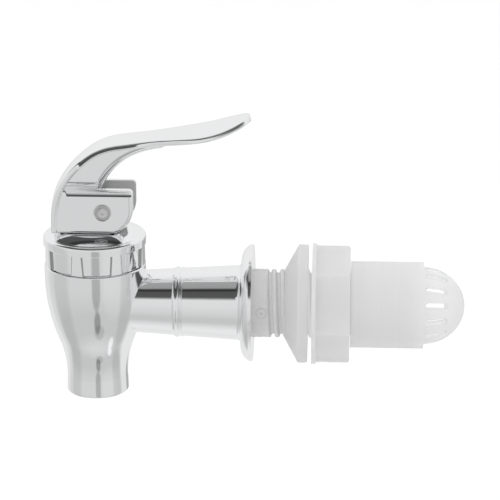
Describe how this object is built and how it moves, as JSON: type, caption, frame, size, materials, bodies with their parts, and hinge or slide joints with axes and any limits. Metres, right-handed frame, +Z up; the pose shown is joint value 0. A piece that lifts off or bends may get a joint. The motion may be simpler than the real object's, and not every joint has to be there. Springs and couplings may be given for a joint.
{
  "type": "beverage dispenser spigot",
  "caption": "Lever spigot with a hanging spout, a screw cap, a round wall flange and a threaded shank with cone gasket, hexagon nut and domed strainer.",
  "frame": {"origin": "centre of the round flange's flat back face, on the axis of the threaded shank", "axes": "+X along the shank into the tank, +Z up, the spout hangs at -X and the lever's paddle points to +X at rest"},
  "size_m": [0.0962, 0.0276, 0.0663],
  "materials": {
    "chrome": "bright chrome plating on moulded plastic",
    "white_plastic": "translucent white plastic, satin",
    "silicone": "translucent silicone",
    "ring_rubber": "black rubber",
    "stem_plastic": "white engineering plastic",
    "steel": "bright stainless wire and plate"
  },
  "bodies": {
    "spigot": {"valve_body": "chrome", "bonnet_cap": "chrome", "spring_washer": "steel", "shank": "white_plastic", "shank_ring": "ring_rubber", "cone_gasket": "silicone", "hex_nut": "white_plastic", "strainer": "white_plastic"},
    "seat": {"seat_cup": "silicone", "return_spring": "steel"},
    "stem": {"stem": "stem_plastic"},
    "lever": {"lever": "chrome", "pivot_pin": "chrome"}
  },
  "joints": [
    {"name": "stem_lift", "type": "slide", "parent": "spigot", "child": "seat", "axis": [0, 0, 1], "range_m": [0, 0.00085], "deforming": ["return_spring", "seat_cup"]},
    {"name": "lever_swivel", "type": "hinge", "parent": "seat", "child": "stem", "pos_m": [-0.0362, 0, 0.0176], "axis": [0, 0, 1], "continuous": true},
    {"name": "lever_tilt", "type": "hinge", "parent": "stem", "child": "lever", "pos_m": [-0.0337, 0, 0.0227], "axis": [0, 1, 0], "range_deg": [0, 38], "stiffness_Nm_per_rad": 0.004, "springref_deg": -51.57}
  ],
  "couplings": [
    {"joint": "stem_lift", "follows": "lever_tilt", "m_per_rad": 0.00124}
  ]
}
